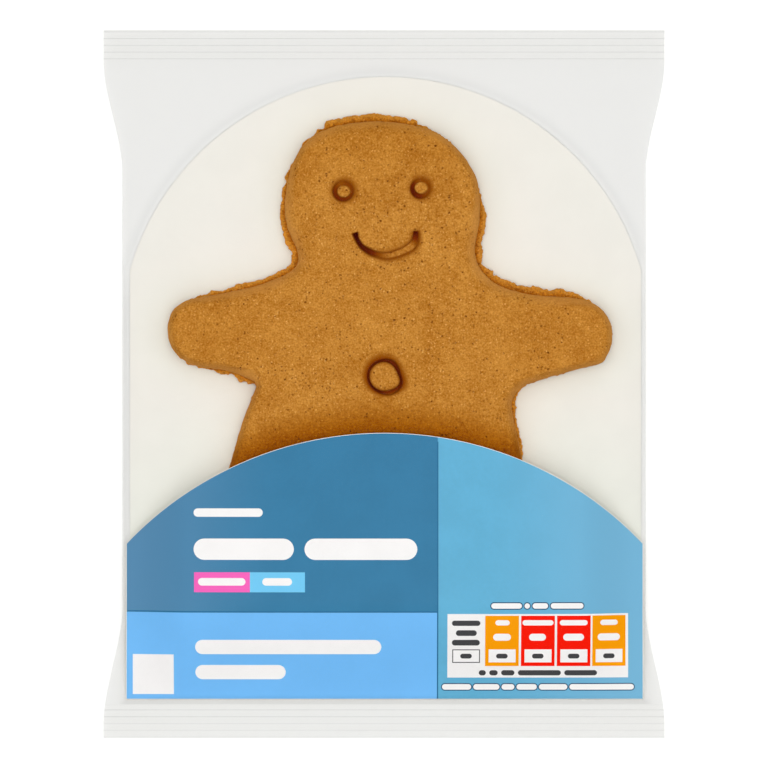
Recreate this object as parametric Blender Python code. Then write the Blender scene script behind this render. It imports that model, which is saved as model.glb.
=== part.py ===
"""One biscuit on a folded card, sealed in a clear flow-wrap film: the pack as one closed solid.

The pack lies on its back with its front up. +X is to its right and +Y runs to its top
seal. The origin is on the floor, under the middle of the pack's outline. The solid is a
row of closed rings along Y: a ridged crimp at each end, and between the crimps a film
tube that swells into a flat box, narrower than the crimps because the film goes round
the filling.
"""

import math

import bmesh
import bpy
import numpy as np

# The whole pack, in metres
PACK_LENGTH = 0.1603
SEAL_WIDTH = 0.1270
WAIST_WIDTH = 0.1186
PACK_HEIGHT = 0.0095
CROWN = 0.0004

# The crimped ends: parallel ridges along X
RIDGE_PITCH = 0.00153
RIDGE_DEPTH = 0.0002
TOP_RIDGES = 4.5
FOOT_RIDGES = 5
SEAL_LEVEL = 0.00125
SEAL_THICKNESS = 0.0005

# The side edges of the film tube, where its front meets its back
SIDE_LEVEL = 0.0040

# How far from the seal's inner edge each part of the shape is fully grown.
# A negative start lies inside the seal.
TOP_WAIST = (0.0, 0.0255)
FOOT_WAIST = (-0.0046, 0.0224)
TOP_RISE = (0.0, 0.0240)
FOOT_RISE = (-0.0010, 0.0240)
SIDE_RISE = (0.0, 0.0300)
BACK_RISE = (0.0, 0.0040)

# Roundness of a cross-section's front: 2 is an ellipse, and a high number is a box
TOP_FRONT_ROUNDNESS = (2.0, 8.0)
FOOT_FRONT_ROUNDNESS = (6.0, 8.0)
HEAD_FULLNESS = 1.2

# Share of the half width over which the back lies flat, at the seals and at the waist
BACK_FLAT_SHARE = (0.80, 0.96)

# Rings along the pack and points across one face of a ring
STEPS_PER_RIDGE = 4
SHOULDER_STEPS = 12
MIDDLE_STEPS = 8
STEPS_ACROSS = 24

FILM_COLOUR = (0.86, 0.88, 0.86, 1.0)
FILM_ROUGHNESS = 0.22

TOP_EDGE = PACK_LENGTH / 2
FOOT_EDGE = -PACK_LENGTH / 2
TOP_SEAL_INNER = TOP_EDGE - TOP_RIDGES * RIDGE_PITCH
FOOT_SEAL_INNER = FOOT_EDGE + FOOT_RIDGES * RIDGE_PITCH


def clear_scene():
    """Removes every object that the scene holds."""
    for obj in list(bpy.data.objects):
        bpy.data.objects.remove(obj, do_unlink=True)


def grown(distance, span):
    """0 where distance is before the span, 1 where it is past it, and an S-curve between."""
    t = min(max((distance - span[0]) / (span[1] - span[0]), 0.0), 1.0)
    return t * t * (3 - 2 * t)


def mixed(pair, share):
    """The value that lies at a share, 0 to 1, of the way between a pair of values."""
    return pair[0] + (pair[1] - pair[0]) * share


def nearest_seal(y):
    """How far y is from the inner edge of the nearer seal, and whether that is the top one."""
    to_top = TOP_SEAL_INNER - y
    to_foot = y - FOOT_SEAL_INNER
    return min(to_top, to_foot), to_top < to_foot


def ridge_height(y):
    """The crimp's wave at y, above or below the seal's own level. It is 0 between the seals."""
    if y >= TOP_SEAL_INNER:
        distance = y - TOP_SEAL_INNER
    elif y <= FOOT_SEAL_INNER:
        distance = FOOT_SEAL_INNER - y
    else:
        return 0.0
    return RIDGE_DEPTH * math.sin(2 * math.pi * distance / RIDGE_PITCH)


def front_level(y):
    """Height of the front film on the pack's centre line at y."""
    distance, at_top = nearest_seal(y)
    seal_front = SEAL_LEVEL + SEAL_THICKNESS / 2
    if at_top:
        share = min(max(distance / TOP_RISE[1], 0.0), 1.0)
        rise = math.sin(math.pi / 2 * share) ** HEAD_FULLNESS
    else:
        rise = grown(distance, FOOT_RISE)
    return mixed((seal_front, PACK_HEIGHT), rise)


def back_level(y):
    """Height of the back film on the pack's centre line at y: the floor, except near the seals."""
    distance, _ = nearest_seal(y)
    seal_back = SEAL_LEVEL - SEAL_THICKNESS / 2
    return mixed((seal_back, 0.0), grown(distance, BACK_RISE))


def half_width(y):
    """Half of the pack's width at y: the flat film's at the seals, drawn in at the waist."""
    distance, at_top = nearest_seal(y)
    waist = grown(distance, TOP_WAIST if at_top else FOOT_WAIST)
    return mixed((SEAL_WIDTH, WAIST_WIDTH), waist) / 2


def ring(y):
    """The closed cross-section at y, from the left edge over the front and back underneath.

    Across a face, x runs as the sine of an even angle, which packs the points towards the
    edges. The front's height falls from the centre line to the edge as a superellipse. The
    back is flat under the filling, and rises to the edge on a quarter of an ellipse.
    """
    distance, at_top = nearest_seal(y)
    swell = grown(distance, SIDE_RISE)
    side = mixed((SEAL_LEVEL, SIDE_LEVEL), swell)
    roundness = mixed(TOP_FRONT_ROUNDNESS if at_top else FOOT_FRONT_ROUNDNESS, swell)
    flat_share = mixed(BACK_FLAT_SHARE, swell)

    across = np.sin(np.linspace(-math.pi / 2, math.pi / 2, STEPS_ACROSS + 1))
    reach = np.abs(across)
    front_fall = (1 - reach**roundness) ** (1 / roundness)
    past_flat = np.clip((reach - flat_share) / (1 - flat_share), 0, 1)
    back_rise = 1 - np.sqrt(1 - past_flat**2)
    front = side + (front_level(y) - side) * front_fall - CROWN * swell * reach**2 * front_fall
    back = back_level(y) + (side - back_level(y)) * back_rise

    wave = ridge_height(y)
    x = across * half_width(y)
    over = [(x[i], y, front[i] + wave) for i in range(STEPS_ACROSS + 1)]
    under = [(x[i], y, back[i] + wave) for i in range(STEPS_ACROSS - 1, 0, -1)]
    return over + under


def ring_places():
    """Where the rings stand along Y: close on the crimps and shoulders, wide apart on the waist."""
    foot_shoulder = FOOT_SEAL_INNER + SIDE_RISE[1]
    top_shoulder = TOP_SEAL_INNER - SIDE_RISE[1]
    runs = [
        (FOOT_EDGE, FOOT_SEAL_INNER, int(FOOT_RIDGES * STEPS_PER_RIDGE)),
        (FOOT_SEAL_INNER, foot_shoulder, SHOULDER_STEPS),
        (foot_shoulder, top_shoulder, MIDDLE_STEPS),
        (top_shoulder, TOP_SEAL_INNER, SHOULDER_STEPS),
        (TOP_SEAL_INNER, TOP_EDGE, int(TOP_RIDGES * STEPS_PER_RIDGE)),
    ]
    places = [FOOT_EDGE]
    for start, end, steps in runs:
        places += list(np.linspace(start, end, steps + 1)[1:])
    return [float(place) for place in places]


def skin_rings(name, rings):
    """A closed mesh object through the rings in order, with a flat cap on each end."""
    build = bmesh.new()
    rows = [[build.verts.new(point) for point in points] for points in rings]
    count = len(rows[0])
    for row, following in zip(rows, rows[1:]):
        for i in range(count):
            j = (i + 1) % count
            build.faces.new((row[i], row[j], following[j], following[i]))
    build.faces.new(list(reversed(rows[0])))
    build.faces.new(rows[-1])
    bmesh.ops.recalc_face_normals(build, faces=build.faces)
    mesh = bpy.data.meshes.new(name)
    build.to_mesh(mesh)
    build.free()
    obj = bpy.data.objects.new(name, mesh)
    bpy.context.scene.collection.objects.link(obj)
    return obj


def film_material():
    """Clear packing film, shown here as a pale solid."""
    material = bpy.data.materials.new("clear_film")
    material.use_nodes = True
    shader = material.node_tree.nodes["Principled BSDF"]
    shader.inputs["Base Color"].default_value = FILM_COLOUR
    shader.inputs["Roughness"].default_value = FILM_ROUGHNESS
    shader.inputs["Metallic"].default_value = 0.0
    return material


def make_pack():
    """The sealed pack, smooth along the film and sharp at the cut ends of the crimps."""
    pack = skin_rings("sealed_pack", [ring(y) for y in ring_places()])
    pack.data.materials.append(film_material())
    pack.data.shade_smooth()
    pack.data.set_sharp_from_angle(angle=math.radians(40))
    return pack


clear_scene()
make_pack()
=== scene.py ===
"""A gingerbread man biscuit in the pocket of a folded card, sealed in a clear flow-wrap film.

The pack lies on its back: +X to the right of its front, +Y towards its top seal, +Z up. Every
new piece is a surface worked out on a grid, in metres, in the place where it stays. The film
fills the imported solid's box, and the card and the biscuit are fitted inside the film.
"""

import math

import bpy
import numpy as np
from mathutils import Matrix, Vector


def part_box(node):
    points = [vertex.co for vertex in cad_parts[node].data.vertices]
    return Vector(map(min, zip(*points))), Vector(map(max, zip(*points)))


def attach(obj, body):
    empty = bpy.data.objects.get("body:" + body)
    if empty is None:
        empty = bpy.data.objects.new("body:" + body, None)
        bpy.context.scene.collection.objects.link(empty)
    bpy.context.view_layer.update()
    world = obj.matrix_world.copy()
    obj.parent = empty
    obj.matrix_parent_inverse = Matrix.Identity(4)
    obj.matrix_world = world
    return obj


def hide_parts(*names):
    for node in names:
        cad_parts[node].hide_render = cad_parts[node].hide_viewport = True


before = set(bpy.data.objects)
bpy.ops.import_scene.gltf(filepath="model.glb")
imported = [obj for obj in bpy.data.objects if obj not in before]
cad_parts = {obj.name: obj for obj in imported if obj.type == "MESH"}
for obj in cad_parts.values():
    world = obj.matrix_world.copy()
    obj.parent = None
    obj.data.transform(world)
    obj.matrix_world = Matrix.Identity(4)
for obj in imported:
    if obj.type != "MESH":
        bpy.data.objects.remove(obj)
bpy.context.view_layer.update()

MM = 0.001
PACK_LOW, PACK_HIGH = (np.array(corner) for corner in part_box("sealed_pack"))

# ---- Sizes of the film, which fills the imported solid's box ----

SEAL_WIDTH = PACK_HIGH[0] - PACK_LOW[0]
WAIST_WIDTH = 118.3 * MM
TOP_EDGE = PACK_HIGH[1]
FOOT_EDGE = PACK_LOW[1]
FILM_TOP = PACK_HIGH[2]
CROWN = 0.4 * MM
FOLD_HEIGHT = 0.14 * MM

RIDGE_PITCH = 1.53 * MM
RIDGE_DEPTH = 0.2 * MM
TOP_SEAL_INNER = TOP_EDGE - 4.5 * RIDGE_PITCH
FOOT_SEAL_INNER = FOOT_EDGE + 5 * RIDGE_PITCH
TOP_CREASE = 0.34 * MM
FOOT_CREASE = 1.28 * MM
SEAL_LEVEL = 1.25 * MM
SEAL_THICKNESS = 0.1 * MM
SIDE_LEVEL = 4.0 * MM

# How far from a seal's inner edge each part of the tube is fully grown
TOP_WAIST = (0.0, 25.5 * MM)
FOOT_WAIST = (-4.6 * MM, 22.4 * MM)
TOP_RISE = 24.0 * MM
FOOT_RISE = (-1.0 * MM, 24.0 * MM)
SIDE_RISE = 30.0 * MM
BACK_RISE = 0.8 * MM

# Roundness of the tube's front across the pack, at the two seals and at the waist over the legs
# and over the arms: 2 is an ellipse, and a high number is a box
TOP_ROUNDNESS = 2.0
FOOT_ROUNDNESS = 6.0
LEGS_ROUNDNESS = 2.7
ARMS_ROUNDNESS = 4.2
HEAD_FULLNESS = 1.2
BACK_FLAT_SHARE = (0.90, 0.986)
BACK_FLAT_LEAST = 58.3 * MM
BACK_LIFT = 0.15 * MM

# The seam down the back: a strip of doubled film, folded flat, with ridges along it
BACK_SEAM_WIDTH = 9.0 * MM
BACK_SEAM_DEPTH = 0.1 * MM

# ---- Sizes of the folded card ----

CARD_THICKNESS = 0.28 * MM
BOARD_CENTRE = 0.35 * MM
BOARD_HALF_WIDTH = 57.9 * MM
BOARD_LEVEL = 0.46 * MM
ARCH_CENTRE = 9.4 * MM
ARCH_RADIUS = 60.15 * MM
ARCH_CURL = 0.12 * MM
CURL_RADII = (45.0 * MM, 57.0 * MM)
CURL_REACH = (-40.0 * MM, 30.0 * MM)
FOLD = -71.5 * MM
FOLD_TURN = 1.2 * MM

PANEL_CENTRE = 0.15 * MM
PANEL_HALF_WIDTH = 58.5 * MM
PANEL_FLARE = 0.0015
FLARE_REACH = 20.0 * MM
PANEL_UNDER_FILM = 0.35 * MM
PANEL_DROOP = 0.68
DROOP_ACROSS = (44.0 * MM, 58.0 * MM)
POCKET_CENTRE = -91.6 * MM
POCKET_RADIUS = 80.6 * MM

# ---- Sizes of the biscuit ----

BISCUIT_BASE = 0.48 * MM
BISCUIT_TOP = 8.25 * MM
LEGS_THINNER = 1.3 * MM
BUTTON = (0.1 * MM, 1.73 * MM)
SHOULDER_WIDTHS = (1.9 * MM, 3.2 * MM)
SHOULDER_DROP = 2.3 * MM
SHOULDER_ROUNDNESS = 2.5

# How many points stand round the biscuit and round its foot, and where the rows round the button
# stop being circles and fully follow the outline, as shares of the way out to it
BISCUIT_COLUMNS = 570
FOOT_COLUMNS = 3600
CIRCLES_END = (0.08, 0.45)

# The outline at the shoulder: x, y, and how far the rough foot stands out past it there.
# It runs clockwise from the top of the head, in millimetres.
FIGURE = MM * np.array([
    # head
    (-2.0, 59.1, 1.6), (7.2, 58.1, 1.5), (13.2, 55.7, 0.4), (18.2, 50.8, 0.3), (21.1, 45.0, 0.3),
    (21.4, 37.2, 1.4), (20.3, 30.2, 1.6),
    # neck and shoulder
    (21.8, 25.6, 1.2), (26.4, 21.9, 2.1), (34.0, 19.9, 2.5), (42.5, 19.3, 1.3),
    # arm
    (47.7, 17.8, 0.3), (50.8, 14.1, 0.2), (51.3, 9.6, 0.2), (50.1, 6.3, 0.2), (48.7, 4.8, 0.2),
    (43.5, 3.4, 0.2), (35.5, 1.2, 0.3), (31.2, -0.4, 0.5),
    # trunk
    (28.8, -3.6, 0.9), (28.9, -6.8, 0.8), (30.6, -15.0, 0.7),
    # leg
    (32.5, -25.0, 0.3), (35.6, -35.5, 0.2), (35.6, -46.6, 0.2), (31.0, -51.5, 0.2),
    (24.0, -52.9, 0.2), (17.2, -51.2, 0.2), (8.6, -43.3, 0.2),
    # the other leg
    (0.0, -38.1, 0.2), (-8.6, -44.2, 0.2), (-17.5, -51.8, 0.2), (-26.6, -53.2, 0.2),
    (-34.5, -50.8, 0.2), (-39.4, -43.5, 0.2), (-38.8, -33.0, 0.2),
    # the other side of the trunk
    (-34.5, -17.8, 0.2), (-31.8, -8.6, 0.2), (-29.7, -3.2, 0.3), (-28.7, -0.2, 0.2),
    # the other arm
    (-30.6, 1.4, 1.2), (-35.6, 3.2, 1.0), (-43.8, 4.8, 0.4), (-48.1, 9.0, 0.2), (-48.3, 14.9, 0.2),
    (-45.1, 18.4, 0.2), (-38.0, 20.0, 0.9), (-28.4, 22.1, 1.3),
    # the other side of the neck and head
    (-20.8, 25.4, 1.4), (-19.2, 29.2, 1.4), (-21.7, 35.6, 1.5), (-22.2, 41.5, 1.3),
    (-20.6, 49.2, 0.5), (-17.2, 54.8, 0.6), (-11.3, 57.9, 1.7),
])

# Marks pressed into the dough. An eye: the middle of its dot, the middle and the radii of its
# ring, all in millimetres, the turn, in degrees, at which the ring is deepest, and how dark it
# is, brown and painted shade, at its palest and its deepest.
EYES = [
    ((-9.05, 43.4), (-9.2, 43.45), (2.55, 2.45), 235, (0.50, 0.62)),
    ((8.35, 44.2), (8.2, 44.05), (2.35, 2.45), 200, (0.43, 0.80)),
]
EYE_DOT_RADII = (1.42, 1.27)
EYE_DEPTH = 1.2 * MM

# The smile from its left end: x, y and half width in millimetres, depth, and its floor's brown and
# painted shade
SMILE = np.array([
    (-6.5, 34.0, 0.60, 1.7, 1.00),
    (-6.1, 32.7, 0.42, 1.7, 0.95),
    (-5.0, 31.0, 0.48, 1.6, 0.85),
    (-3.2, 29.8, 0.60, 1.4, 0.75),
    (-1.5, 29.2, 0.60, 1.1, 0.48),
    (0.7, 28.9, 0.72, 0.9, 0.22),
    (2.9, 29.4, 0.80, 0.8, 0.08),
    (4.6, 30.1, 0.80, 0.8, 0.08),
    (6.1, 31.0, 0.90, 0.8, 0.12),
    (7.0, 32.3, 0.78, 1.0, 0.50),
    (7.2, 34.2, 0.55, 1.1, 0.90),
])

BUTTON_RADII = (3.38 * MM, 3.30 * MM)
BUTTON_GROOVE = 0.45 * MM
BUTTON_DEPTH = 1.3 * MM

# ---- Camera and light ----

CAMERA_HEIGHT = 1.33
VIEW_WIDTH = 173.9 * MM
SENSOR_WIDTH = 36.0
MIDDLE_LIGHT_HEIGHT = 1.6
SIDE_LIGHT_HEIGHT = 1.45
SIDE_LIGHT_AWAY = 0.85
WORLD_STRENGTH = 0.33


# ---- Arithmetic on arrays ----

# How many random values a noise has, and the primes that pick one for a corner of its lattice
NOISE_VALUES = 4093
NOISE_PRIMES = (73856093, 19349663, 83492791)


def grown(distance, start, end):
    """0 before start, 1 past end, and an S-curve between."""
    share = np.clip((distance - start) / (end - start), 0, 1)
    return share * share * (3 - 2 * share)


def grown_mm(distance, start, end):
    """The same, for a distance in metres and a start and an end in millimetres."""
    return grown(distance, start * MM, end * MM)


def mixed(first, second, share):
    """The value that lies at a share, 0 to 1, of the way from first to second."""
    return first + (second - first) * share


def joined(*values):
    """Arrays side by side along a new last axis, each stretched to the shape they share."""
    return np.stack(np.broadcast_arrays(*values), axis=-1)


def packed(count):
    """Places from -1 to 1 that stand closest at both ends: the sines of even angles."""
    return np.sin(np.linspace(-math.pi / 2, math.pi / 2, count))


def looped(line):
    """The points of a line, and its first point again."""
    return np.vstack([line, line[:1]])


def lattice_noise(points, size, seed):
    """Smooth noise from -1 to 1 at points of three coordinates.

    Each corner of a cubic lattice of that size has a random value, and a point takes the mix
    of its eight corners, by an S-curve along each axis.
    """
    values = np.random.default_rng(seed).uniform(-1, 1, NOISE_VALUES)
    cell = points / size
    base = np.floor(cell).astype(np.int64)
    part = cell - base
    part = part * part * (3 - 2 * part)
    total = np.zeros(points.shape[:-1])
    for corner in np.ndindex(2, 2, 2):
        key = (base + corner) @ np.array(NOISE_PRIMES)
        weight = np.where(corner, part, 1 - part).prod(axis=-1)
        total += weight * values[key % len(values)]
    return total


def roughness_at(points, waves, seed):
    """The sum of several noises, each of its own size and height."""
    return sum(
        height * lattice_noise(points, size, seed + i) for i, (size, height) in enumerate(waves)
    )


def cubic_between(before, start, end, after, t):
    """The cubic from start to end whose slope at each is half the way between its neighbours."""
    return 0.5 * (
        2 * start
        + (end - before) * t
        + (2 * before - 5 * start + 4 * end - after) * t**2
        + (3 * start - before - 3 * end + after) * t**3
    )


def closed_curve(points, count, weight=lambda line: 1):
    """A smooth closed line through points, by cubics, cut into count steps.

    The steps are even in length times weight, a function of the line.
    """
    around = [np.roll(points, shift, axis=0)[:, None, :] for shift in (1, 0, -1, -2)]
    t = np.linspace(0, 1, 24, endpoint=False)[:, None]
    line = cubic_between(*around, t).reshape(-1, points.shape[1])
    line = looped(line)
    steps = np.linalg.norm(np.diff(line[:, :2], axis=0), axis=1) * weight(line[:-1])
    way = np.concatenate([[0], np.cumsum(steps)])
    places = np.linspace(0, way[-1], count, endpoint=False)
    return joined(*(np.interp(places, way, column) for column in line.T))


def outward(line):
    """Unit normals of a clockwise closed line of x and y, pointing out of it."""
    along = np.roll(line, -1, axis=0) - np.roll(line, 1, axis=0)
    normal = joined(-along[:, 1], along[:, 0])
    return normal / np.linalg.norm(normal, axis=1, keepdims=True)


def nearest_on_line(points, line):
    """For each point, the nearest place on a line of straight steps.

    It gives how far away that is, the place as a number of steps from the line's start, and
    how far the point stands to the left of the step there.
    """
    step = np.diff(line, axis=0)
    reach = points[:, None] - line[None, :-1]
    length = np.linalg.norm(step, axis=1)
    share = np.clip((reach * step).sum(-1) / length**2, 0, 1)
    away = np.linalg.norm(reach - share[..., None] * step, axis=-1)
    best = away.argmin(axis=1)
    row = np.arange(len(points))
    left = (step[:, 0] * reach[..., 1] - step[:, 1] * reach[..., 0]) / length
    return away[row, best], best + share[row, best], left[row, best]


def open_curve(points, count):
    """A smooth line from the first point to the last, cut into count even steps of the list.

    Between two points it is the cubic that closed_curve has.
    """
    row = np.vstack([2 * points[0] - points[1], points, 2 * points[-1] - points[-2]])
    place = np.linspace(0, len(points) - 1, count + 1)
    i = np.minimum(place.astype(int), len(points) - 2)
    t = (place - i)[:, None]
    return cubic_between(row[i], row[i + 1], row[i + 2], row[i + 3], t)


# ---- Meshes from grids ----

# The angle in degrees from which a slab's edge is sharp
SLAB_SHARP = 35


def grid_quads(rows, columns, wrap_rows=False, wrap_columns=False):
    """Quads over points numbered row by row. A wrapped side joins its last line to its first."""
    i, j = np.meshgrid(
        np.arange(rows if wrap_rows else rows - 1),
        np.arange(columns if wrap_columns else columns - 1),
        indexing="ij",
    )
    below, right = (i + 1) % rows, (j + 1) % columns
    corners = (i * columns + j, i * columns + right, below * columns + right, below * columns + j)
    return joined(*corners).reshape(-1, 4)


def rim_loop(rows, columns):
    """The border of a grid of points as one loop of point numbers."""
    numbers = np.arange(rows * columns).reshape(rows, columns)
    sides = (numbers[0, :-1], numbers[:-1, -1], numbers[-1, :0:-1], numbers[:0:-1, 0])
    return np.concatenate(sides)


def new_object(name, data):
    """An object with that data, put into the scene."""
    made = bpy.data.objects.new(name, data)
    bpy.context.scene.collection.objects.link(made)
    return made


def make_piece(name, points, faces, material, sharp=None):
    """A mesh object that rides on the part. A closed surface is turned to face outwards."""
    mesh = bpy.data.meshes.new(name)
    mesh.from_pydata(points.reshape(-1, 3).tolist(), [], [list(face) for face in faces])
    mesh.update()
    mesh.calc_loop_triangles()
    corners = np.empty(len(mesh.loop_triangles) * 3, np.int32)
    mesh.loop_triangles.foreach_get("vertices", corners)
    a, b, c = points.reshape(-1, 3)[corners.reshape(-1, 3).T]
    if (a * np.cross(b, c)).sum() < 0:
        mesh.flip_normals()
    mesh.shade_smooth()
    if sharp:
        mesh.set_sharp_from_angle(angle=math.radians(sharp))
    mesh.materials.append(material)
    piece = new_object(name, mesh)
    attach(piece, "root")
    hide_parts("sealed_pack")
    return piece


def add_values(piece, name, values):
    """One number for each point of the piece, for its material to read."""
    attribute = piece.data.attributes.new(name, "FLOAT", "POINT")
    attribute.data.foreach_set("value", np.asarray(values, np.float32).ravel())


def slab_parts(upper, lower, first):
    """Points and faces of a closed slab between two grids of the same shape.

    Its points are numbered from first.
    """
    rows, columns = upper.shape[:2]
    count = rows * columns
    top = grid_quads(rows, columns)
    edge = rim_loop(rows, columns)
    following = np.roll(edge, -1)
    wall = joined(edge, edge + count, following + count, following)
    points = np.concatenate([upper.reshape(-1, 3), lower.reshape(-1, 3)])
    return points, first + np.concatenate([top, top[:, ::-1] + count, wall])


def make_slabs(name, pairs, material):
    """One piece of several closed slabs, each between an upper and a lower grid."""
    points, faces, count = [], [], 0
    for upper, lower in pairs:
        some_points, some_faces = slab_parts(upper, lower, count)
        points.append(some_points)
        faces.append(some_faces)
        count += len(some_points)
    points, faces = np.concatenate(points), np.concatenate(faces)
    return make_piece(name, points, faces, material, SLAB_SHARP)


def lowered(grid, depth):
    """The same grid, lower by depth."""
    return grid - np.array([0, 0, depth])


# ---- Shape of the film ----


def from_seal(y):
    """Distance of y from the inner edge of the nearer seal, and whether that is the top one."""
    to_top = TOP_SEAL_INNER - y
    to_foot = y - FOOT_SEAL_INNER
    return np.minimum(to_top, to_foot), to_top < to_foot


def half_width(y):
    """Half of the pack's width at y: the flat film's at the seals, narrower at the waist."""
    distance, at_top = from_seal(y)
    waist = np.where(at_top, grown(distance, *TOP_WAIST), grown(distance, *FOOT_WAIST))
    return mixed(SEAL_WIDTH, WAIST_WIDTH, waist) / 2


def side_level(y):
    """Height at which the film's front meets its back at the pack's sides."""
    distance, _ = from_seal(y)
    return mixed(SEAL_LEVEL, SIDE_LEVEL, grown(distance, 0, SIDE_RISE))


def film_front(x, y):
    """Height of the film's front.

    Along the centre line it rises from the seals, by a sine at the top and an S-curve at the
    foot. Across the pack it falls to the side as a superellipse, with a slight crown.
    """
    distance, at_top = from_seal(y)
    share = np.clip(distance / TOP_RISE, 0, 1)
    rise = np.where(at_top, np.sin(math.pi / 2 * share) ** HEAD_FULLNESS, grown(distance, *FOOT_RISE))
    level = mixed(SEAL_LEVEL + SEAL_THICKNESS / 2, FILM_TOP, rise)
    swell = grown(distance, 0, SIDE_RISE)
    waist = mixed(LEGS_ROUNDNESS, ARMS_ROUNDNESS, grown_mm(y, -45, -5))
    roundness = mixed(np.where(at_top, TOP_ROUNDNESS, FOOT_ROUNDNESS), waist, swell)
    reach = np.clip(np.abs(x) / half_width(y), 0, 1)
    fall = (1 - reach**roundness) ** (1 / roundness)
    side = side_level(y)
    return side + (level - side) * fall - CROWN * swell * reach**2 * fall


def film_back(x, y):
    """Height of the film's back: flat under the card, and up a quarter ellipse to the side."""
    distance, _ = from_seal(y)
    level = mixed(SEAL_LEVEL - SEAL_THICKNESS / 2, BACK_LIFT, grown(distance, 0, BACK_RISE))
    flat_share = mixed(*BACK_FLAT_SHARE, grown(distance, 0, SIDE_RISE))
    flat_share = np.maximum(flat_share, BACK_FLAT_LEAST / half_width(y))
    reach = np.clip(np.abs(x) / half_width(y), 0, 1)
    past_flat = np.clip((reach - flat_share) / (1 - flat_share), 0, 1)
    return level + (side_level(y) - level) * (1 - np.sqrt(1 - past_flat**2))


def back_seam(x, y):
    """How far the seam stands out of the film's back: a low strip with a wave across it."""
    distance, _ = from_seal(y)
    edge = BACK_SEAM_WIDTH / 2
    strip = 1 - grown(np.abs(x), edge - 0.3 * MM, edge)
    wave = 0.85 + 0.15 * np.cos(2 * math.pi * x / (1.5 * MM))
    return BACK_SEAM_DEPTH * strip * wave * grown(distance, 0, BACK_RISE)


def film_folds(x, y):
    """Soft folds that fan out from the seals, strongest just inside them and at the corners."""
    distance, at_top = from_seal(y)
    fan = x / (distance + 45 * MM)
    points = joined(fan, np.where(at_top, 0.3, 1.7), 0)
    wave = roughness_at(points, [(0.11, 1.0), (0.05, 0.5)], seed=11)
    reach = np.abs(x) / half_width(y)
    strength = grown_mm(distance, 0, 5) * (1 - grown_mm(distance, 9, 26))
    return FOLD_HEIGHT * wave * strength * (1 - grown(reach, 0.9, 1.0))


# ---- Shape of the card ----


def outside_card(x, y):
    """How far a place is outside the back board's outline. It is below 0 on the board."""
    from_arch = np.hypot(x - BOARD_CENTRE, np.maximum(y - ARCH_CENTRE, 0)) - ARCH_RADIUS
    return np.maximum(np.maximum(from_arch, np.abs(x - BOARD_CENTRE) - BOARD_HALF_WIDTH), FOLD - y)


def board_height(x, y):
    """Height of the back board's white face: flat, with its arched edge curled up a little."""
    from_arch = np.hypot(x - BOARD_CENTRE, np.maximum(y - ARCH_CENTRE, 0))
    return BOARD_LEVEL + ARCH_CURL * grown(from_arch, *CURL_RADII) * grown(y, *CURL_REACH)


def panel_height(x, y):
    """Height of the front panel's printed face: a little under the film, with drooping sides.

    At the fold it turns over a quarter ellipse to the board's own level.
    """
    lying = BOARD_LEVEL + CARD_THICKNESS
    held_up = 1 - PANEL_DROOP * grown(np.abs(x), *DROOP_ACROSS)
    over = lying + (film_front(x, y) - PANEL_UNDER_FILM - lying) * held_up
    past_fold = np.clip((y - FOLD) / FOLD_TURN, 0, 1)
    return BOARD_LEVEL + (over - BOARD_LEVEL) * np.sqrt(1 - (1 - past_fold) ** 2)


def pocket_edge(x):
    """How far up the front panel reaches at x: an arc of a circle."""
    return POCKET_CENTRE + np.sqrt(POCKET_RADIUS**2 - (x - PANEL_CENTRE) ** 2)


# ---- Shape of the biscuit ----


def trench(past, wide, wall, slope):
    """1 in a groove that starts at past = 0 and is so wide, with a steep wall and a gentle slope."""
    return grown(past, -wall / 2, wall / 2) * (1 - grown(past, wide - slope / 2, wide + slope / 2))


def fading(past, wide):
    """1 up to past = 0, then falling evenly to 0 over that width."""
    return np.clip(1 - past / wide, 0, 1)


def past_ellipse(x, y, middle, radii):
    """About how far a place is outside an ellipse whose middle and radii are in millimetres."""
    across, up = (x / MM - middle[0]) / radii[0], (y / MM - middle[1]) / radii[1]
    return (np.hypot(across, up) - 1) * radii[0] * MM


def eye_marks(x, y):
    """Depth in metres of the two eyes, and how dark they are, brown and painted shade: an uneven ring
    round a dot.

    The ring is deepest and darkest at its own turn, and has a painted patch of light at its upper
    left. Its brown and painted shade fade away round it, over a shallow dish.
    """
    depth, brown = np.zeros(x.shape), np.zeros(x.shape)
    for dot, ring, ring_radii, deepest, browns in EYES:
        past_dot = past_ellipse(x, y, dot, EYE_DOT_RADII)
        past_ring = past_ellipse(x, y, ring, ring_radii)
        turn = np.arctan2(y / MM - ring[1], x / MM - ring[0])
        side = 0.5 + 0.5 * np.cos(turn - math.radians(deepest))
        groove = grown_mm(past_dot, -0.25, 0.3) * (1 - grown_mm(past_ring, -0.6, 0.25))
        dish = 0.16 * (1 - grown_mm(past_ring, -0.5, 1.0))
        depth += EYE_DEPTH * np.maximum(groove * mixed(0.75, 1.0, side), dish)
        # A painted patch of light on the ring at its upper left
        light_patch = 0.12 * np.cos((turn - math.radians(112)) / 2) ** 24
        edge = grown_mm(past_dot, -0.15, 0.25) * (1 - grown_mm(past_ring, -0.35, 0.35))
        halo = mixed(0.4, 0.24, side) * grown_mm(past_dot, 0, 0.2) * fading(past_ring, 1.5 * MM)
        strength = mixed(*browns, side**2) - light_patch
        brown = np.maximum(brown, np.maximum(edge * strength, halo))
    return depth, brown


def past_end(x, y, end, inner):
    """How far a place is past the end of a line, along the way from an inner point to that end."""
    way = (end - inner) / np.hypot(*(end - inner))
    return (x - end[0]) * way[0] + (y - end[1]) * way[1]


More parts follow.
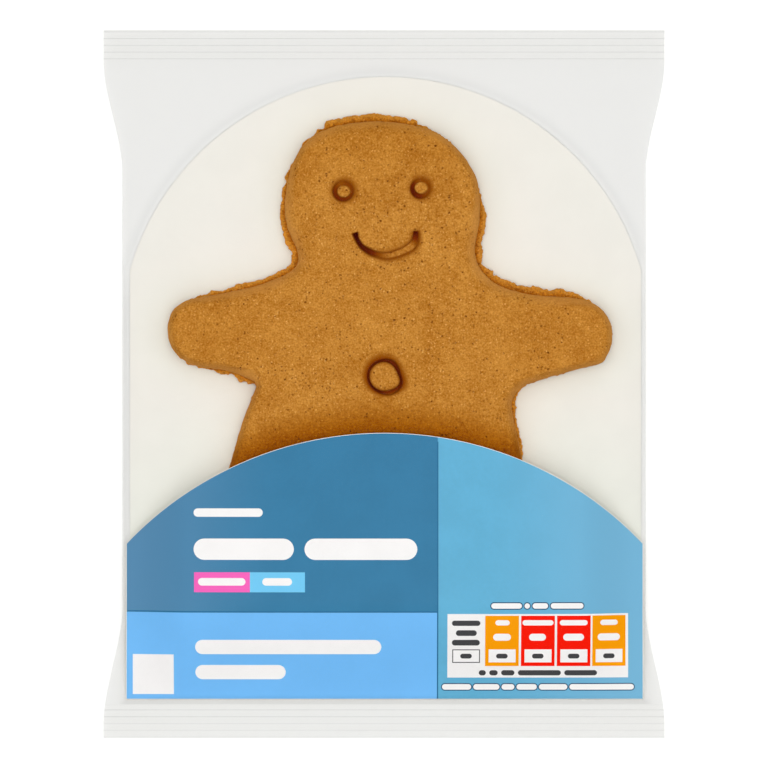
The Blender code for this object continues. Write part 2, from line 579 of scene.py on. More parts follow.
def smile_mark(x, y):
    """Depth in metres of the smile, and how dark it is, brown and painted shade: a groove along a
    smooth line.

    It is narrow, deep and dark at its left end, cut off square, and wide and shallow along
    its right half, where only its two edges and its end are dark. Its wall is steep on the
    inside of the bend, the left of the line, and slopes gently on the outside. Its brown and painted
    shade fade away on both sides, further where the groove is wide.
    """
    line = open_curve(SMILE, 100)
    line_xy = MM * line[:, :2]
    _, place, left = nearest_on_line(joined(x.ravel(), y.ravel()), line_xy)
    place, left = place.reshape(x.shape), left.reshape(x.shape)
    half, deep, floor = (np.interp(place, np.arange(len(line)), line[:, i]) for i in (2, 3, 4))
    half = half * MM
    before = past_end(x, y, line_xy[0], line_xy[3])
    after = past_end(x, y, line_xy[-1], line_xy[-4])
    ends = (1 - grown_mm(before, -0.05, 0.15)) * (1 - grown_mm(after, 0, 0.5))
    near = (1 - grown_mm(before, 0, 0.5)) * (1 - grown_mm(after, 0, 1.1))
    gentle = mixed(0.6, 1.4, grown(place / len(line), 0.2, 0.5)) * MM
    depth = deep * MM * trench(half - left, 2 * half, 0.4 * MM, 0.9 * gentle) * ends
    core = floor * trench(half - left, 2 * half, 0.3 * MM, 0.5 * MM)
    inner = 0.34 * grown_mm(left - half, -0.5, 0) * fading(left - half, gentle)
    outer = 0.42 * grown_mm(-left - half, -0.5, 0) * fading(-left - half, gentle)
    return depth, np.maximum(core * ends, np.maximum(inner, outer) * near)


def button_mark(x, y):
    """Depth in metres of the button's groove, and how dark it is, brown and painted shade.

    The button has a dent at its upper right, and a corner at its lower right. The groove is
    wider at its upper right and its foot, darkest at its lower left and palest at its foot.
    Its wall is steep at the button, which is a little dark inside its own edge. It slopes up
    gently away from it, where the brown and painted shade fade out, furthest at the upper right.
    """
    across, up = x - BUTTON[0], y - BUTTON[1]
    turn = np.arctan2(up, across)
    dent, corner, upper_right, foot, lower_left, right, left = (
        np.cos((turn - math.radians(middle)) / 2) ** sharpness
        for middle, sharpness in (
            (25, 14), (-26, 40), (50, 20), (-68, 26), (225, 12), (-10, 20), (157, 120)
        )
    )
    lumpy = 1 - 0.12 * dent + 0.14 * corner
    past = (np.hypot(across / BUTTON_RADII[0], up / BUTTON_RADII[1]) / lumpy - 1) * BUTTON_RADII[0]
    wide = BUTTON_GROOVE * (1 + 1.35 * upper_right + 1.5 * foot)
    ring = trench(past, wide, 0.35 * MM, 0.7 * MM)
    dish = 0.2 * grown_mm(past, 0, 0.2) * (1 - grown(past, wide, wide + 1.7 * MM))
    strength = 0.74 + 0.16 * lower_left - 0.30 * foot + 0.08 * right - 0.14 * left
    core = strength * trench(past, wide, 0.3 * MM, mixed(0.5, 1.0, np.maximum(upper_right, foot)) * MM)
    lip = 0.3 * grown_mm(past, -1.0, -0.1) * (1 - grown_mm(past, 0, 0.3))
    spread = mixed(1.5, 2.5, 0.5 + 0.5 * np.cos(turn - math.radians(60))) * MM
    halo = 0.62 * grown_mm(past, 0, 0.15) * fading(past - 0.4 * MM, spread)
    return BUTTON_DEPTH * np.maximum(ring, dish), np.maximum(np.maximum(core, halo), lip)


def dough_top(x, y, inside, shoulder_width):
    """Height of the biscuit's top in metres, and how dark its marks are, brown and painted shade, at
    each point.

    It is level but uneven, rounded off towards the outline by a power of the distance inside
    it, with the eyes, the smile and the button pressed in.
    """
    waves = [(19 * MM, 0.14), (8 * MM, 0.09), (3.1 * MM, 0.04), (1.4 * MM, 0.035), (0.8 * MM, 0.03)]
    uneven = roughness_at(joined(x, y, 0), waves, seed=3) * MM
    short = np.clip(1 - inside / shoulder_width, 0, 1)
    shoulder = SHOULDER_DROP * short**SHOULDER_ROUNDNESS
    marks = [eye_marks(x, y), smile_mark(x, y), button_mark(x, y)]
    pressed = sum(depth for depth, _ in marks)
    thinner = LEGS_THINNER * grown_mm(-y, 0, 16)
    return BISCUIT_TOP + uneven - shoulder - pressed - thinner, sum(brown for _, brown in marks)


# ---- Material helpers ----


def put(tree, kind, inputs=(), **settings):
    """A new node with its settings. Each input is given a value, or a link from a socket."""
    node = tree.nodes.new(kind)
    for key, value in settings.items():
        setattr(node, key, value)
    for key, value in dict(inputs).items():
        if isinstance(value, bpy.types.NodeSocket):
            tree.links.new(value, node.inputs[key])
        else:
            node.inputs[key].default_value = value
    return node


def sum_of(tree, operation, first, second=0.0, third=0.0):
    """The result of one arithmetic step on sockets or numbers."""
    inputs = {0: first, 1: second, 2: third}
    return put(tree, "ShaderNodeMath", inputs, operation=operation).outputs[0]


def times(tree, first, second):
    """The product of two sockets or numbers."""
    return sum_of(tree, "MULTIPLY", first, second)


def plus(tree, first, second):
    """The sum of two sockets or numbers."""
    return sum_of(tree, "ADD", first, second)


def own_place(tree):
    """The place on the object itself."""
    return put(tree, "ShaderNodeTexCoord").outputs["Object"]


def said_by_piece(tree, name):
    """The number that the piece has at each point under that name."""
    return put(tree, "ShaderNodeAttribute", attribute_name=name).outputs["Fac"]


def ramp(tree, value, start, end, low=0.0, high=1.0):
    """low up to start, high past end, and an S-curve between."""
    inputs = {"Value": value, "From Min": start, "From Max": end, "To Min": low, "To Max": high}
    node = put(tree, "ShaderNodeMapRange", inputs, interpolation_type="SMOOTHSTEP")
    return node.outputs["Result"]


def blend(tree, share, first, second, blend_type="MIX"):
    """Two colours mixed by a share."""
    inputs = {0: share, 6: first, 7: second}
    node = put(tree, "ShaderNodeMix", inputs, data_type="RGBA", blend_type=blend_type)
    return node.outputs[2]


def noise(tree, place, scale, detail=2.0, roughness=0.5):
    """Noise of about one lump in each 1/scale metres."""
    inputs = {"Vector": place, "Scale": scale, "Detail": detail, "Roughness": roughness}
    return put(tree, "ShaderNodeTexNoise", inputs).outputs["Fac"]


def new_group(name, inputs, outputs):
    """A shader node group with named sockets: its tree, its input sockets and its output node."""
    tree = bpy.data.node_groups.new(name, "ShaderNodeTree")
    for socket, value in inputs.items():
        made = tree.interface.new_socket(socket, in_out="INPUT", socket_type="NodeSocketFloat")
        made.default_value = value
    for socket in outputs:
        tree.interface.new_socket(socket, in_out="OUTPUT", socket_type="NodeSocketFloat")
    return tree, put(tree, "NodeGroupInput").outputs, put(tree, "NodeGroupOutput")


def new_material(name, values):
    """A material, its node tree and its shader, with values set on the shader's own sockets."""
    material = bpy.data.materials.new(name)
    material.use_nodes = True
    tree = material.node_tree
    shader = tree.nodes["Principled BSDF"]
    for socket, value in values.items():
        shader.inputs[socket].default_value = value
    return material, tree, shader


def bump(tree, shader, height, distance, strength=1.0):
    """Relief of that height in metres on the shader's normal."""
    inputs = {"Height": height, "Distance": distance, "Strength": strength}
    node = put(tree, "ShaderNodeBump", inputs)
    tree.links.new(node.outputs["Normal"], shader.inputs["Normal"])


# ---- Shared effects ----


def baked_crumb_group():
    """Fine baked crumb: its tone from dark to pale, its pits and specks, and its relief."""
    tree, given, result = new_group(
        "baked_crumb",
        {"Grain": 2450.0, "Contrast": 1.7, "Pits": 0.4, "Specks": 0.5},
        ["Tone", "Pit", "Speck", "Height"],
    )
    place = own_place(tree)
    fine = noise(tree, place, given["Grain"], detail=2.0, roughness=0.55)
    lumps = noise(tree, place, 900.0, detail=3.0, roughness=0.6)
    cloud = noise(tree, place, 130.0, detail=4.0, roughness=0.6)

    def off_middle(value, weight):
        """How far a noise is from its middle value, times a weight."""
        return times(tree, sum_of(tree, "SUBTRACT", value, 0.5), weight)

    tone = times(tree, off_middle(fine, 1.0), given["Contrast"])
    tone = plus(tree, tone, off_middle(lumps, 0.8))
    tone = plus(tree, plus(tree, tone, off_middle(cloud, 0.9)), 0.5)

    bent = put(tree, "ShaderNodeTexNoise", {"Vector": place, "Scale": 2600.0}).outputs["Color"]
    for operation, inputs in (
        ("SUBTRACT", {1: (0.5, 0.5, 0.5)}), ("SCALE", {"Scale": 0.0006}), ("ADD", {1: place})
    ):
        inputs = {0: bent, **inputs}
        bent = put(tree, "ShaderNodeVectorMath", inputs, operation=operation).outputs[0]

    def spots(scale, size, share):
        """Spots of uneven strength on a share of the cells of a cell pattern."""
        cells = put(tree, "ShaderNodeTexVoronoi", {"Vector": bent, "Scale": scale})
        chance = put(tree, "ShaderNodeSeparateColor", {"Color": cells.outputs["Color"]}).outputs[0]
        strength = sum_of(tree, "DIVIDE", sum_of(tree, "SUBTRACT", share, chance), share)
        strength = sum_of(tree, "MAXIMUM", strength, 0.0)
        return times(tree, ramp(tree, cells.outputs["Distance"], size, 0.4 * size), strength)

    clusters = ramp(tree, noise(tree, place, 300.0, detail=1.0), 0.42, 0.60, 0.4, 1.2)
    pit = times(tree, spots(1300.0, 0.40, given["Pits"]), clusters)
    speck = spots(1500.0, 0.38, given["Specks"])
    height = sum_of(tree, "SUBTRACT", times(tree, tone, 0.7), pit)
    height = plus(tree, height, times(tree, speck, 0.3))
    for socket, value in {"Tone": tone, "Pit": pit, "Speck": speck, "Height": height}.items():
        tree.links.new(value, result.inputs[socket])
    return tree


def card_grain_group():
    """The faint mottle and fibres of coated card: a shade, and relief."""
    tree, given, result = new_group("card_grain", {"Fibre": 900.0}, ["Shade", "Height"])
    place = own_place(tree)
    mottle = noise(tree, place, 110.0, detail=3.0)
    fibre = noise(tree, place, given["Fibre"], detail=3.0, roughness=0.6)
    shade = plus(tree, times(tree, mottle, 0.7), times(tree, fibre, 0.3))
    tree.links.new(shade, result.inputs["Shade"])
    tree.links.new(fibre, result.inputs["Height"])
    return tree


CRUMB = baked_crumb_group()
CARD_GRAIN = card_grain_group()

SPECK_COLOUR = (0.85, 0.45, 0.12, 1)
# Browning, and the shade painted under the pocket's edge and beside the biscuit's wall
BROWNING_AND_SHADE = (0.74, 0.57, 0.0, 1)

# How deep a mark's brown and painted shade starts and is full, and its colour there
MARK_BROWNS_AND_SHADES = [
    (0.00, 0.45, (0.290, 0.075, 0.0, 1)),
    (0.35, 0.65, (0.190, 0.022, 0.0, 1)),
    (0.60, 1.00, (0.065, 0.000, 0.0, 1)),
]

# What card is multiplied by beside the biscuit and the pocket, a painted shade, and its relief in
# metres
BESIDE_SHADE_TINT = (0.957, 0.997, 0.983, 1)
CARD_RELIEF = 0.00002

# How much denser the dark film is made where shade is painted on it past the card's edge
PAINTED_SHADE_ALPHA = 0.05


def dough_material(name, dark, pale, smooth_colour, pit_colour, pits, relief):
    """Baked gingerbread: a fine grain of dark and pale crumb, with pits and specks.

    It is smoother and even in colour on the shoulder, darker towards the pocket in a painted
    shade, and darkest where it is pressed in, partly painted shade. The browning and painted shade
    are laid on twice, so that the blue falls away first.
    """
    material, tree, shader = new_material(name, {"Roughness": 0.8, "Specular IOR Level": 0.02})
    crumb = put(tree, "ShaderNodeGroup", {}, node_tree=CRUMB)
    crumb.inputs["Pits"].default_value = pits
    smooth = said_by_piece(tree, "shoulder")
    marks_brown_and_shade = said_by_piece(tree, "marks_brown_and_shade")
    browned_and_shaded = said_by_piece(tree, "browned_and_shaded")
    open_grain = sum_of(tree, "SUBTRACT", 1.0, times(tree, smooth, 0.6))

    colour = blend(tree, crumb.outputs["Tone"], dark, pale)
    colour = blend(tree, times(tree, smooth, 0.5), colour, smooth_colour)
    for socket, strength, spot in (("Pit", 0.9, pit_colour), ("Speck", 0.8, SPECK_COLOUR)):
        share = times(tree, crumb.outputs[socket], times(tree, open_grain, strength))
        colour = blend(tree, share, colour, spot)
    # Browning and painted shade, laid on twice
    for _ in range(2):
        colour = blend(tree, browned_and_shaded, colour, BROWNING_AND_SHADE, "MULTIPLY")
    # The marks' brown, partly painted shade in their hollows
    for start, end, brown in MARK_BROWNS_AND_SHADES:
        colour = blend(tree, ramp(tree, marks_brown_and_shade, start, end), colour, brown)
    tree.links.new(colour, shader.inputs["Base Color"])
    bump(tree, shader, times(tree, crumb.outputs["Height"], open_grain), relief)
    return material


def card_material(name, colour, shade, roughness, painted_glare=None):
    """Coated card or ink on it, mottled between its colour and a slightly darker shade.

    A painted glare is a colour that it turns to, a painted reflection, and the places along X
    where that starts and ends. It has a painted shade, less red, where the piece says that it is
    beside the biscuit or the pocket.
    """
    material, tree, shader = new_material(
        name, {"Roughness": roughness, "Specular IOR Level": 0.04}
    )
    grain = put(tree, "ShaderNodeGroup", node_tree=CARD_GRAIN)
    share = ramp(tree, grain.outputs["Shade"], 0.35, 0.65)
    darker = tuple(part * shade for part in colour[:3]) + (1,)
    mottled = blend(tree, share, darker, colour)
    # A painted reflection that pales the ink along X
    if painted_glare:
        glare_colour, start, end = painted_glare
        place = own_place(tree)
        across = put(tree, "ShaderNodeSeparateXYZ", {"Vector": place}).outputs["X"]
        mottled = blend(tree, ramp(tree, across, start * MM, end * MM), mottled, glare_colour)
    # A painted shade, less red, beside the biscuit and next to the pocket's edge
    beside = said_by_piece(tree, "beside")
    mottled = blend(tree, beside, mottled, BESIDE_SHADE_TINT, "MULTIPLY")
    tree.links.new(mottled, shader.inputs["Base Color"])
    bump(tree, shader, grain.outputs["Height"], CARD_RELIEF, 0.5)
    return material


def film_material(name, colour, slant_reflection_colour, flat_alpha, slant_alpha, bend, roughness):
    """Clear film: see-through where it is faced, denser where it is seen along itself, and paler there
    in a painted reflection.

    It is a little denser and darker too where shade is painted on it past the edge of the card.
    """
    material, tree, shader = new_material(
        name, {"Roughness": roughness, "IOR": 1.5, "Specular IOR Level": 0.03}
    )
    facing = put(tree, "ShaderNodeLayerWeight", {"Blend": 0.5}).outputs["Facing"]
    slant = sum_of(tree, "POWER", facing, bend)
    painted_shade = said_by_piece(tree, "painted_shade")
    alpha = sum_of(tree, "MULTIPLY_ADD", slant, slant_alpha - flat_alpha, flat_alpha)
    # Painted shade: denser dark film past the card's edge
    alpha = sum_of(tree, "MULTIPLY_ADD", painted_shade, PAINTED_SHADE_ALPHA, alpha)
    tree.links.new(alpha, shader.inputs["Alpha"])
    # Paler at a slant: a painted reflection
    tree.links.new(blend(tree, slant, colour, slant_reflection_colour), shader.inputs["Base Color"])
    return material


# ---- The biscuit ----


def biscuit_rows():
    """Places of the rows from the button's middle, 0, to the outline, 1.

    They stand close round the button's groove, over the face and at the shoulder.
    """
    stretches = [
        (0.05, 5), (0.082, 15), (0.125, 7), (0.45, 20),
        (0.60, 42), (0.675, 7), (0.80, 34), (0.93, 18), (1.0, 14),
    ]
    places = [0.0]
    for end, steps in stretches:
        places += list(np.linspace(places[-1], end, steps + 1)[1:])
    return np.array(places[1:])


def even_on_face(line):
    """How close the biscuit's columns stand: closest at the head, and far apart at the legs."""
    head = grown(line[:, 1], 24 * MM, 32 * MM)
    legs = grown(-line[:, 1], 16 * MM, 26 * MM)
    return (1 + 1.3 * head) * (1 - 0.6 * legs)


def make_biscuit(material):
    """The biscuit's body: its top, its side wall and its flat underside, as one closed surface.

    The top is a fan of rows round the button. A row's distance from the middle is a share of
    the outline's, except near the button, where the rows are circles.
    """
    outline = closed_curve(FIGURE, BISCUIT_COLUMNS, even_on_face)
    line = outline[:, :2]
    normal = outward(line)
    reach = line - BUTTON
    share = biscuit_rows()[:, None]
    far = np.linalg.norm(reach, axis=1)
    spread = share * mixed(far[0], far, grown(share, *CIRCLES_END))
    top_xy = BUTTON + (spread / far)[..., None] * reach
    x, y = top_xy[..., 0], top_xy[..., 1]
    inside = np.array([nearest_on_line(row, looped(line))[0] for row in top_xy])
    inside[-1] = 0
    wide = mixed(*SHOULDER_WIDTHS, grown(outline[:, 2], 0.3 * MM, 1.2 * MM))
    height, marks_brown_and_shade = dough_top(x, y, inside, wide)

    down = np.linspace(0, 1, 11)[1:, None]
    bulge = 0.22 * MM * np.sin(math.pi * down) ** 0.7 - 0.35 * MM * down**3
    wall_xy = line + bulge[..., None] * normal
    wall = np.concatenate([wall_xy, mixed(height[-1], BISCUIT_BASE, down)[..., None]], axis=-1)
    rough = roughness_at(wall, [(1.3 * MM, 0.10), (0.6 * MM, 0.05)], seed=21)
    wall[..., :2] += rough[..., None] * MM * normal

    under = np.concatenate([mixed(wall[-1:, :, :2], BUTTON, 0.03), wall[-1:, :, 2:]], axis=-1)
    poles = np.array([(*BUTTON, height[0].mean()), (*BUTTON, BISCUIT_BASE)])
    rings = np.concatenate([joined(x, y, height), wall, under])
    rows, columns = rings.shape[:2]
    points = np.concatenate([rings.reshape(-1, 3), poles])
    here = np.arange(columns)
    following = (here + 1) % columns
    pole = np.full(columns, rows * columns)
    last = (rows - 1) * columns
    cap = joined(pole, following, here)
    floor = joined(pole + 1, last + here, last + following)
    faces = grid_quads(rows, columns, wrap_columns=True).tolist() + cap.tolist() + floor.tolist()
    biscuit = make_piece("biscuit", points, faces, material)

    more_rows = np.zeros((rows - len(height), columns))
    worn = inside + roughness_at(joined(x, y, 0), [(5.0 * MM, 0.6), (2.0 * MM, 0.5)], seed=9) * MM
    shoulder = 1 - grown(worn, 0, 0.65 * wide)
    crown = 0.10 * grown_mm(y, 36, 52)
    hands = 0.07 * grown_mm(np.abs(x), 20, 38)
    # Painted shade next to the pocket's edge, taken with the darker top of the head and hands
    browned_and_shaded = np.maximum(grown_mm(pocket_edge(x) - y, -9.2, 1.5), np.maximum(crown, hands))
    # The side wall takes the shoulder's smoother, paler colour, partly painted light that lifts the
    # shade in the crease at its foot
    for name, values, more in (
        ("shoulder", shoulder, 1), ("marks_brown_and_shade", marks_brown_and_shade, 0), ("browned_and_shaded", browned_and_shaded, 0)
    ):
        add_values(biscuit, name, np.append(np.concatenate([values, more_rows + more]), (0, 0)))


def make_foot_edge(material):
    """The rough edge that spread out along the biscuit's foot, as a closed ring.

    Its section is half of a superellipse whose flat side is inside the biscuit. It stands out
    in lumps with steep ends, and noise of several sizes roughens all of it. It is darker beside
    the biscuit's wall, a painted shade in the crease there, and pale at its tips.
    """
    outline = closed_curve(FIGURE, FOOT_COLUMNS)
    line, wide = outline[:, :2], outline[:, 2]
    normal = outward(line)
    flat = joined(*line.T, 0)
    lumps = grown(roughness_at(flat, [(4.5 * MM, 1.0), (1.7 * MM, 0.45)], seed=31), -0.3, 0.05)
    ragged = roughness_at(flat, [(1.9 * MM, 0.3), (0.8 * MM, 0.12)], seed=35) * MM
    strength = grown_mm(wide, 0.2, 1.0)
    lowest = mixed(0.8, 0.45, grown(line[:, 1], 48 * MM, 54 * MM))
    wide = wide * mixed(1, mixed(lowest, 1.1, lumps), strength)
    wide = wide - 0.15 * MM * (1 - strength) + ragged * mixed(0.5, 1.0, strength)

    inner = 0.9 * MM
    turn = np.linspace(math.pi / 2, -math.pi / 2, 25)[:, None]
    out = -inner + (wide + inner) * np.cos(turn) ** 0.62
    thick = mixed(2.2, 3.0, strength) * MM
    up = BISCUIT_BASE + 0.5 * thick * (1 + np.sign(np.sin(turn)) * np.abs(np.sin(turn)) ** 0.8)
    ring = np.concatenate([line + out[..., None] * normal, up[..., None]], axis=-1)
    waves = [(1.3 * MM, 0.20), (0.75 * MM, 0.17), (0.42 * MM, 0.17)]
    outer = grown_mm(out, -0.3, 0.2)
    ring[..., :2] += (roughness_at(ring, waves, 41) * MM * outer)[..., None] * normal
    above = grown(up, BISCUIT_BASE + 0.3 * MM, BISCUIT_BASE + 1.0 * MM)
    ring[..., 2] += roughness_at(ring + 7.0, waves, 51) * MM * above * outer
    rows, columns = ring.shape[:2]
    faces = grid_quads(rows, columns, wrap_rows=True, wrap_columns=True)
    edge = make_piece("biscuit_foot_edge", ring, faces, material)
    add_values(edge, "shoulder", grown(out, 0.45 * wide, wide))
    # A painted shade beside the biscuit's wall, in the crease between the body and the edge
    add_values(edge, "browned_and_shaded", 0.5 * (1 - grown(out, 0.1 * wide, 0.65 * wide)))


# ---- The card ----


def sheet_grid(x, low, high, rows, height, flare=0.0):
    """A grid whose columns stand at x and run from low to high, at their height.

    Its rows stand closest at the low end. A flare widens it by that share down at the fold.
    """
    share = np.linspace(0, 1, rows)[:, None] ** 1.5
    along = mixed(low, high, share) + 0 * x
    wider = 1 + flare * (1 - grown(along, FOLD, FOLD + FLARE_REACH))
    across = PANEL_CENTRE + (x - PANEL_CENTRE) * wider
    return joined(across, along, height(across, along))


def make_board(material):
    """The back board: its sides are straight, and its top is an arc of a circle."""
    x = BOARD_CENTRE + BOARD_HALF_WIDTH * packed(121)
    top = ARCH_CENTRE + np.sqrt(ARCH_RADIUS**2 - (x - BOARD_CENTRE) ** 2)
    face = sheet_grid(x, FOLD + 0.35 * MM, top, 110, board_height)
    sides = [(face, lowered(face, CARD_THICKNESS))]
    board = make_slabs("card_back_board", sides, material)
    figure = looped(closed_curve(FIGURE, 200)[:, :2])
    away = np.array([nearest_on_line(row[:, :2], figure)[0] for row in face])
    above_pocket = face[..., 1] - pocket_edge(face[..., 0])
    # Painted shade on the board beside the biscuit and next to the pocket's edge
    beside = np.maximum(0.8 * fading(away - 1.5 * MM, 8 * MM), 0.9 * fading(above_pocket, 26 * MM))
    add_values(board, "beside", np.stack([beside, beside]))


def make_panel(material):
    """The front panel, from the fold up over the biscuit's legs to the arc of the pocket."""
    x = PANEL_CENTRE + PANEL_HALF_WIDTH * packed(91)
    face = sheet_grid(x, FOLD, pocket_edge(x), 120, panel_height, PANEL_FLARE)
    sides = [(face, lowered(face, CARD_THICKNESS))]
    make_slabs("card_front_panel", sides, material)


# How far ink reaches down into the panel, in metres, and how far each kind of it stands out of the
# panel, in millimetres. A word's edge is that much wider than the word.
INK_DEPTH = 0.02 * MM
FIELD, BLOCK, EDGE, CELL, MARK, TOP = 0.02, 0.03, 0.035, 0.04, 0.05, 0.06
EDGE_WIDTH = 0.22


def ink_slab(x, low, high, rows, level):
    """A thin layer of ink on the panel, over the columns at x from low to high."""
    face = sheet_grid(x, low, high, rows, panel_height, PANEL_FLARE)
    return lowered(face, -level * MM), lowered(face, INK_DEPTH)


def box_ink(left, right, low, high, level):
    """A rectangle of ink, its sides in millimetres."""
    columns = int((right - left) / 0.6) + 2
    rows = int((high - low) / 0.5) + 2
    x = MM * np.linspace(left, right, columns)
    return ink_slab(x, low * MM + 0 * x, high * MM + 0 * x, rows, level)


def bar_ink(left, right, low, high, level):
    """A bar of ink with round ends, its sides in millimetres."""
    half = (high - low) / 2
    turn = np.linspace(0, math.pi / 2, 7)
    x = np.concatenate([
        left + half * (1 - np.cos(turn)),
        np.linspace(left + half, right - half, int((right - left) / 0.6) + 3)[1:-1],
        right - half * (1 - np.cos(turn[::-1])),
    ])
    end = np.clip(np.maximum(left + half - x, x - right + half) / half, 0, 1)
    reach = half * np.sqrt(np.maximum(1 - end**2, 0.002))
    middle = (low + high) / 2
    return ink_slab(MM * x, MM * (middle - reach), MM * (middle + reach), 5, level)


def field_ink(left, right, low, level):
    """A field of ink from low, in millimetres, up to just under the pocket's cut edge."""
    x = MM * np.linspace(left, right, 110)
    high = pocket_edge(x) - 0.13 * MM
    return ink_slab(x, low * MM + 0 * x, high, 110, level)


def words(left, low, height, lengths, gap, level, edge=0.0):
    """A row of bars, each as long as a word, with gaps between them.

    An edge makes every bar wider by that much all round.
    """
    bars = []
    for length in lengths:
        bars.append(bar_ink(left - edge, left + length + edge, low - edge, low + height + edge, level))
        left += length + gap
    return bars


def make_print():
    """The printed front: fields of blue, tags, a table of boxes, and bars in place of words."""
    dark = (0.042, 0.214, 0.392, 1)
    light = (0.135, 0.465, 0.705, 1)
    middle = (0.181, 0.522, 0.967, 1)
    white = (0.975, 0.955, 0.945, 1)
    # Painted reflections on the blue fields, paler towards their outer sides
    painted_glares = {
        "dark_blue": ((0.098, 0.262, 0.445, 1), -22, -58),
        "light_blue": ((0.185, 0.475, 0.70, 1), 20, 56),
    }
    inks = {
        "dark_blue": (dark, [field_ink(-58.2, 12.1, -51.3, FIELD)]),
        "light_blue": (light, [field_ink(12.1, 58.5, -71.3, FIELD)]),
        "middle_blue": (middle, [box_ink(-58.2, 12.1, -71.3, -51.3, FIELD)]),
    }
    inks["line_blue"] = (
        (0.03, 0.17, 0.33, 1),
        [box_ink(-58.2, 12.1, -51.5, -51.15, BLOCK), box_ink(11.95, 12.25, -71.3, -13.0, BLOCK)],
    )
    inks["white"] = ((0.950, 0.930, 0.922, 1), [
        box_ink(-56.8, -47.5, -70.2, -61.1, BLOCK),
        box_ink(14.3, 55.2, -66.4, -51.8, BLOCK),
    ])
    inks["pink"] = ((0.965, 0.135, 0.525, 1), [box_ink(-42.8, -30.2, -46.9, -42.4, BLOCK)])
    inks["pale_blue"] = ((0.181, 0.618, 0.938, 1), [box_ink(-30.2, -17.8, -46.9, -42.4, BLOCK)])
    box_left = [22.8, 30.9, 39.0, 47.0]
    over_table = (24.15, -50.6, 1.25, [6.9, 1.2, 3.5, 7.4], 0.6)
    under_table = (13.1, -69.2, 1.3, [6.6, 5.9, 2.9, 4.6, 6.4, 14.6], 0.48)
    front_words = [
        (-42.9, -29.9, 1.9, [15.6], 0),
        (-42.9, -39.6, 4.8, [22.6, 25.4], 2.4),
        (-41.9, -45.4, 1.7, [10.7], 0),
        (-27.4, -45.4, 1.7, [6.7], 0),
        (-42.6, -61.0, 3.3, [42.0], 0),
        (-42.6, -66.8, 3.3, [20.4], 0),
    ]
    for name, colour, lefts in (
        ("orange", (1.0, 0.352, 0.0, 1), box_left[::3]),
        ("red", (1.0, 0.008, 0.000, 1), box_left[1:3]),
    ):
        inks[name] = (colour, [box_ink(left, left + 7.6, -63.75, -52.2, CELL) for left in lefts])
    inks["navy_marks"] = ((0.02, 0.075, 0.16, 1), [
        *words(*over_table, EDGE, EDGE_WIDTH),
        *words(*under_table, EDGE, EDGE_WIDTH),
    ])
    inks["white_marks"] = (white, [
        *[bar for row in [*front_words, over_table, under_table] for bar in words(*row, MARK)],
        *[bar_ink(left, right, -54.4, -53.2, MARK)
          for left, right in [(25.1, 28.3), (31.2, 38.2), (39.6, 45.9), (48.8, 52.8)]],
        *[bar_ink(left, right, -57.9, -56.3, MARK)
          for left, right in [(24.6, 28.6), (32.7, 36.5), (40.4, 45.1), (48.2, 53.3)]],
        *[box_ink(left + 0.8, left + 6.9, -62.9, -59.9, MARK) for left in box_left],
        box_ink(15.6, 21.45, -62.8, -60.1, MARK),
    ])
    inks["dark_marks"] = ((0.06, 0.06, 0.065, 1), [
        bar_ink(15.3, 21.7, -54.5, -53.3, CELL),
        bar_ink(16.2, 20.9, -56.8, -55.5, CELL),
        bar_ink(15.3, 21.6, -59.0, -57.7, CELL),
        box_ink(15.4, 21.65, -63.0, -59.9, CELL),
        *[bar_ink(left + 2.5, left + 5.1, -62.0, -60.9, TOP) for left in [14.7, *box_left]],
        *words(21.4, -65.9, 1.2, [1.6, 1.9, 3.0, 9.7, 7.4], 0.78, CELL),
    ])
    for name, (colour, slabs) in inks.items():
        shade = 0.93 if name in painted_glares else 0.97
        material = card_material(f"ink_{name}", colour, shade, 0.42, painted_glares.get(name))
        make_slabs(f"print_{name}", slabs, material)


# ---- The film ----


def painted_film_shade(x, y):
    """How much shade is painted on the film past the edge of the card, as denser dark film: most below
    the fold.

    Along the arch it fades outwards. Along the straight sides it starts over the card, and is
    strongest in the middle of the narrow strip of film beside it.
    """
    outside = outside_card(x, y) / MM
    fold = grown(outside, -0.1, 0.4) * (1 - grown(outside, 0.4, 3.2))
    arch = 0.4 * grown(outside, 0.1, 0.8) * (1 - grown(outside, 0.8, 3.2))
    strip = 0.3 * grown(outside, -3, 0) + 0.6 * grown(outside, 0.2, 0.9)
    strip = strip * (1 - grown(outside, 1.15, 1.6))
    beside = grown_mm(y, -38, -33) * (1 - grown_mm(y, 15, 30))
    return mixed(mixed(arch, strip, beside), fold, grown_mm(FOLD - y, -0.5, 0.5))


def make_film_tube(material):
    """The clear film round the card, from seal to seal, as one closed surface.

    A ring runs over the front from left to right and back underneath. Across a face, x is the
    sine of an even angle, which packs the points at the sides.
    """
    rows, half = 260, 150
    y = np.linspace(FOOT_SEAL_INNER, TOP_SEAL_INNER, rows)[:, None]
    over = joined(packed(half + 1) * half_width(y), y, 0.0)
    under = over[:, ::-1][:, 1:-1].copy()
    over[..., 2] = film_front(over[..., 0], over[..., 1]) + film_folds(over[..., 0], over[..., 1])
    under[..., 2] = film_back(under[..., 0], under[..., 1]) - back_seam(under[..., 0], under[..., 1])
    rings = np.concatenate([over, under], axis=1)
    faces = grid_quads(rows, rings.shape[1], wrap_columns=True)
    tube = make_piece("film_tube", rings, faces, material)
    # Painted shade on the film beside the card's edges and below its fold
    add_values(tube, "painted_shade", painted_film_shade(rings[..., 0], rings[..., 1]))


